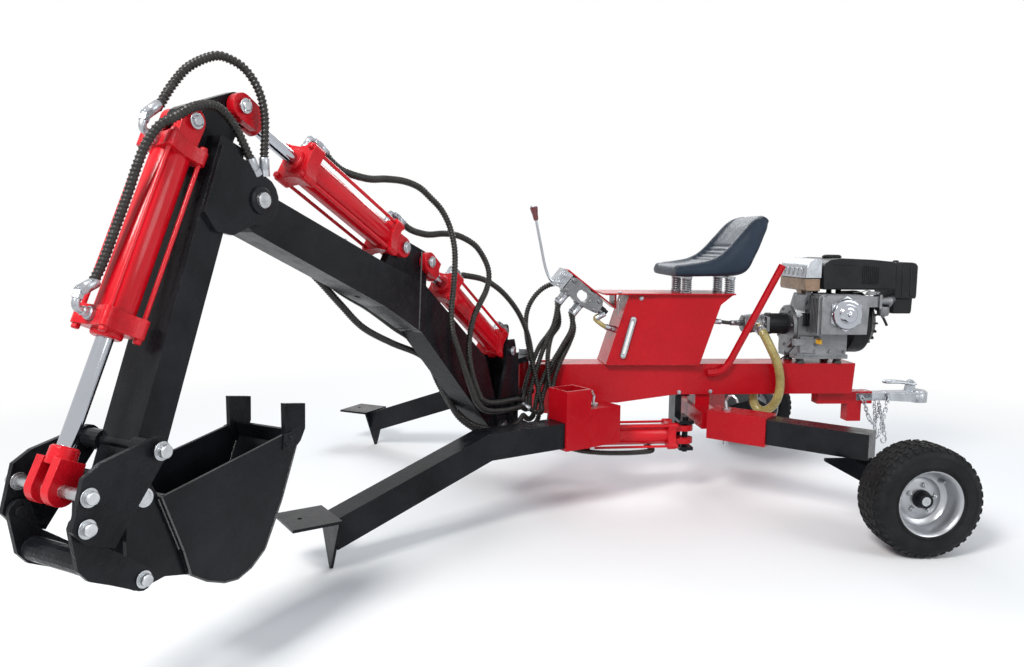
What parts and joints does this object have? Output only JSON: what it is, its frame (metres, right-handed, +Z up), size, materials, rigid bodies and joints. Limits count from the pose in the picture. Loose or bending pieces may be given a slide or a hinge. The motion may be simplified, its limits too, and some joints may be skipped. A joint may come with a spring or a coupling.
{
  "type": "towable ride-on backhoe trencher",
  "caption": "Ride-on trenching machine: a beam chassis on two wheels and two spiked legs, with a seat, engine, valve lever and a swinging hydraulic boom, dipper and bucket.",
  "frame": {"origin": "middle of the footprint of the whole machine, on the ground", "axes": "+X along the beam from the digging end to the tow coupler; +Z up; +Y to the right of the seated operator, who faces -X"},
  "size_m": [3.1142, 2.9184, 1.5554],
  "materials": {
    "main_beam": "gloss red paint",
    "front_crossmember": "gloss red paint",
    "rear_crossmember": "gloss red paint",
    "front_leg_left": "gloss red paint",
    "front_leg_right": "gloss red paint",
    "rear_leg_left": "gloss red paint",
    "rear_leg_right": "gloss red paint",
    "front_pin_left": "zinc plated",
    "front_pin_right": "zinc plated",
    "rear_pin_left": "zinc plated",
    "rear_pin_right": "zinc plated",
    "swing_bracket": "gloss black paint",
    "swing_kingpin": "zinc plated",
    "tow_tube": "gloss red paint",
    "coupler": "zinc plated",
    "coupler_latch": "zinc plated",
    "console_tank": "gloss red paint",
    "deck_plate": "gloss red paint",
    "sight_gauge": "bare machined steel",
    "seat": "moulded slate vinyl",
    "seat_spring_front": "zinc plated",
    "seat_spring_rear": "zinc plated",
    "grab_bar": "gloss red paint",
    "valve_bank": "die cast",
    "valve_bracket": "gloss red paint",
    "lever_yoke": "bare machined steel",
    "control_lever": "hard chrome",
    "engine_block": "die cast",
    "fuel_tank_cover": "textured black",
    "muffler_guard": "bare machined steel",
    "air_cleaner": "textured black",
    "valve_cover": "hard chrome",
    "blower_housing": "textured black",
    "carburettor": "die cast",
    "bell_housing": "gloss black paint",
    "drive_coupling": "bare machined steel",
    "pump": "die cast",
    "suction_hose": "clear yellowish, wire wound",
    "pressure_hose": "black",
    "swing_post": "gloss black paint",
    "boom": "gloss black paint",
    "boom_foot_pin": "zinc plated",
    "dipper": "gloss black paint",
    "dipper_pin": "zinc plated",
    "rocker": "gloss black paint",
    "bucket_link": "gloss black paint",
    "bucket": "gloss black paint",
    "bucket_hose": "spiral guarded",
    "lift_barrel": "bright gloss red paint",
    "lift_rod": "hard chrome",
    "crowd_barrel": "bright gloss red paint",
    "crowd_rod": "hard chrome",
    "curl_barrel": "bright gloss red paint",
    "curl_rod": "hard chrome",
    "swing_barrel": "bright gloss red paint",
    "swing_rod": "hard chrome",
    "tyre_left": "turf tread",
    "tyre_right": "turf tread",
    "rim_left": "bare machined steel",
    "rim_right": "bare machined steel"
  },
  "bodies": {
    "chassis": {"main_beam": "main_beam", "front_crossmember": "front_crossmember", "rear_crossmember": "rear_crossmember", "front_leg_left": "front_leg_left", "front_leg_right": "front_leg_right", "rear_leg_left": "rear_leg_left", "rear_leg_right": "rear_leg_right", "swing_bracket": "swing_bracket", "swing_kingpin": "swing_kingpin", "tow_tube": "tow_tube", "coupler": "coupler", "console_tank": "console_tank", "deck_plate": "deck_plate", "sight_gauge": "sight_gauge", "seat_spring_front": "seat_spring_front", "seat_spring_rear": "seat_spring_rear", "grab_bar": "grab_bar", "valve_bank": "valve_bank", "valve_bracket": "valve_bracket", "engine_block": "engine_block", "fuel_tank_cover": "fuel_tank_cover", "muffler_guard": "muffler_guard", "air_cleaner": "air_cleaner", "valve_cover": "valve_cover", "blower_housing": "blower_housing", "carburettor": "carburettor", "bell_housing": "bell_housing", "pump": "pump", "suction_hose": "suction_hose", "pressure_hose": "pressure_hose"},
    "seat": {"seat": "seat"},
    "front_pin_left": {"front_pin_left": "front_pin_left"},
    "front_pin_right": {"front_pin_right": "front_pin_right"},
    "rear_pin_left": {"rear_pin_left": "rear_pin_left"},
    "rear_pin_right": {"rear_pin_right": "rear_pin_right"},
    "wheel_left": {"tyre_left": "tyre_left", "rim_left": "rim_left"},
    "wheel_right": {"tyre_right": "tyre_right", "rim_right": "rim_right"},
    "drive": {"drive_coupling": "drive_coupling"},
    "yoke": {"lever_yoke": "lever_yoke"},
    "lever": {"control_lever": "control_lever"},
    "latch": {"coupler_latch": "coupler_latch"},
    "post": {"swing_post": "swing_post", "boom_foot_pin": "boom_foot_pin"},
    "boom": {"boom": "boom", "dipper_pin": "dipper_pin"},
    "dipper": {"dipper": "dipper", "bucket_hose": "bucket_hose"},
    "rocker": {"rocker": "rocker"},
    "link": {"bucket_link": "bucket_link"},
    "bucket": {"bucket": "bucket"},
    "lift_barrel": {"lift_barrel": "lift_barrel"},
    "lift_rod": {"lift_rod": "lift_rod"},
    "crowd_barrel": {"crowd_barrel": "crowd_barrel"},
    "crowd_rod": {"crowd_rod": "crowd_rod"},
    "curl_barrel": {"curl_barrel": "curl_barrel"},
    "curl_rod": {"curl_rod": "curl_rod"},
    "swing_barrel": {"swing_barrel": "swing_barrel"},
    "swing_rod": {"swing_rod": "swing_rod"}
  },
  "joints": [
    {"name": "arm_swing", "type": "hinge", "parent": "chassis", "child": "post", "pos_m": [-0.29485, 0.46162, 0.5], "axis": [0, 0, 1], "range_deg": [-90, 4]},
    {"name": "boom_lift", "type": "hinge", "parent": "post", "child": "boom", "pos_m": [-0.45383, 0.20721, 0.355], "axis": [-0.848, 0.5299, 0], "range_deg": [-24, 8]},
    {"name": "dipper_crowd", "type": "hinge", "parent": "boom", "child": "dipper", "pos_m": [-1.15227, -0.91052, 1.197], "axis": [-0.848, 0.5299, 0], "range_deg": [-28, 26]},
    {"name": "bucket_curl", "type": "hinge", "parent": "dipper", "child": "bucket", "pos_m": [-1.35999, -1.24296, 0.547], "axis": [-0.848, 0.5299, 0], "range_deg": [-6, 70]},
    {"name": "rocker_turn", "type": "hinge", "parent": "dipper", "child": "rocker", "pos_m": [-1.34781, -1.22345, 0.649], "axis": [-0.848, 0.5299, 0], "range_deg": [-4.69, 49.43]},
    {"name": "link_turn", "type": "hinge", "parent": "rocker", "child": "link", "pos_m": [-1.43895, -1.36931, 0.528], "axis": [-0.848, 0.5299, 0], "range_deg": [-9.74, 1.29]},
    {"name": "curl_barrel_turn", "type": "hinge", "parent": "dipper", "child": "curl_barrel", "pos_m": [-1.24129, -1.05299, 1.371], "axis": [-0.848, 0.5299, 0], "range_deg": [-0.91, 5.25]},
    {"name": "curl_rod_slide", "type": "slide", "parent": "curl_barrel", "child": "curl_rod", "axis": [-0.2244, -0.3591, -0.9059], "range_m": [-0.1328, 0.015]},
    {"name": "lift_barrel_turn", "type": "hinge", "parent": "post", "child": "lift_barrel", "pos_m": [-0.41939, 0.26233, 0.655], "axis": [-0.848, 0.5299, 0], "range_deg": [-26.14, 9.05]},
    {"name": "lift_rod_slide", "type": "slide", "parent": "lift_barrel", "child": "lift_rod", "axis": [-0.4426, -0.7083, 0.5499], "range_m": [-0.0459, 0.1297]},
    {"name": "crowd_barrel_turn", "type": "hinge", "parent": "boom", "child": "crowd_barrel", "pos_m": [-0.79828, -0.34402, 1.077], "axis": [-0.848, 0.5299, 0], "range_deg": [-4.8, 4.49]},
    {"name": "crowd_rod_slide", "type": "slide", "parent": "crowd_barrel", "child": "crowd_rod", "axis": [-0.4716, -0.7547, 0.4561], "range_m": [-0.0913, 0.098]},
    {"name": "swing_barrel_turn", "type": "hinge", "parent": "chassis", "child": "swing_barrel", "pos_m": [0.40014, 0.35162, 0.275], "axis": [0, 0, 1], "range_deg": [-1.56, 0.55]},
    {"name": "swing_rod_slide", "type": "slide", "parent": "swing_barrel", "child": "swing_rod", "axis": [-0.9988, -0.049, 0], "range_m": [-0.0148, 0.2459]},
    {"name": "wheel_left_spin", "type": "hinge", "parent": "chassis", "child": "wheel_left", "pos_m": [1.05215, -0.34938, 0.203], "axis": [0, 1, 0], "continuous": true},
    {"name": "wheel_right_spin", "type": "hinge", "parent": "chassis", "child": "wheel_right", "pos_m": [1.05215, 1.27262, 0.203], "axis": [0, 1, 0], "continuous": true},
    {"name": "drive_spin", "type": "hinge", "parent": "chassis", "child": "drive", "pos_m": [0.82515, 0.46162, 0.745], "axis": [1, 0, 0], "continuous": true},
    {"name": "yoke_tip", "type": "hinge", "parent": "chassis", "child": "yoke", "pos_m": [-0.17665, 0.39362, 0.92801], "axis": [0.788, 0, -0.6157], "range_deg": [-12, 12], "stiffness_Nm_per_rad": 2},
    {"name": "lever_tilt", "type": "hinge", "parent": "yoke", "child": "lever", "pos_m": [-0.17665, 0.39362, 0.92801], "axis": [0, 1, 0], "range_deg": [-14, 14], "stiffness_Nm_per_rad": 2},
    {"name": "latch_lift", "type": "hinge", "parent": "chassis", "child": "latch", "pos_m": [1.47215, 0.46162, 0.47], "axis": [0, 1, 0], "range_deg": [0, 60]},
    {"name": "front_pin_left_pull", "type": "slide", "parent": "chassis", "child": "front_pin_left", "axis": [0, 0, 1], "range_m": [0, 0.14]},
    {"name": "front_pin_right_pull", "type": "slide", "parent": "chassis", "child": "front_pin_right", "axis": [0, 0, 1], "range_m": [0, 0.14]},
    {"name": "rear_pin_left_pull", "type": "slide", "parent": "chassis", "child": "rear_pin_left", "axis": [0, 0, 1], "range_m": [0, 0.14]},
    {"name": "rear_pin_right_pull", "type": "slide", "parent": "chassis", "child": "rear_pin_right", "axis": [0, 0, 1], "range_m": [0, 0.14]},
    {"name": "seat_bounce", "type": "slide", "parent": "chassis", "child": "seat", "axis": [0, 0, 1], "range_m": [-0.02, 0.002], "stiffness_N_per_m": 30000, "springref_m": 0.0012, "deforming": ["seat_spring_front", "seat_spring_rear"]}
  ],
  "couplings": [
    {"joint": "rocker_turn", "follows": "bucket_curl", "ratio": 0.699},
    {"joint": "link_turn", "follows": "bucket_curl", "ratio": -0.132},
    {"joint": "curl_barrel_turn", "follows": "bucket_curl", "ratio": 0.0679},
    {"joint": "curl_rod_slide", "follows": "bucket_curl", "m_per_rad": -0.1054},
    {"joint": "lift_barrel_turn", "follows": "boom_lift", "ratio": 1.0682},
    {"joint": "lift_rod_slide", "follows": "boom_lift", "m_per_rad": -0.3002},
    {"joint": "crowd_barrel_turn", "follows": "dipper_crowd", "ratio": 0.1534},
    {"joint": "crowd_rod_slide", "follows": "dipper_crowd", "m_per_rad": -0.1924},
    {"joint": "swing_barrel_turn", "follows": "arm_swing", "ratio": 0.0118},
    {"joint": "swing_rod_slide", "follows": "arm_swing", "m_per_rad": -0.154}
  ]
}
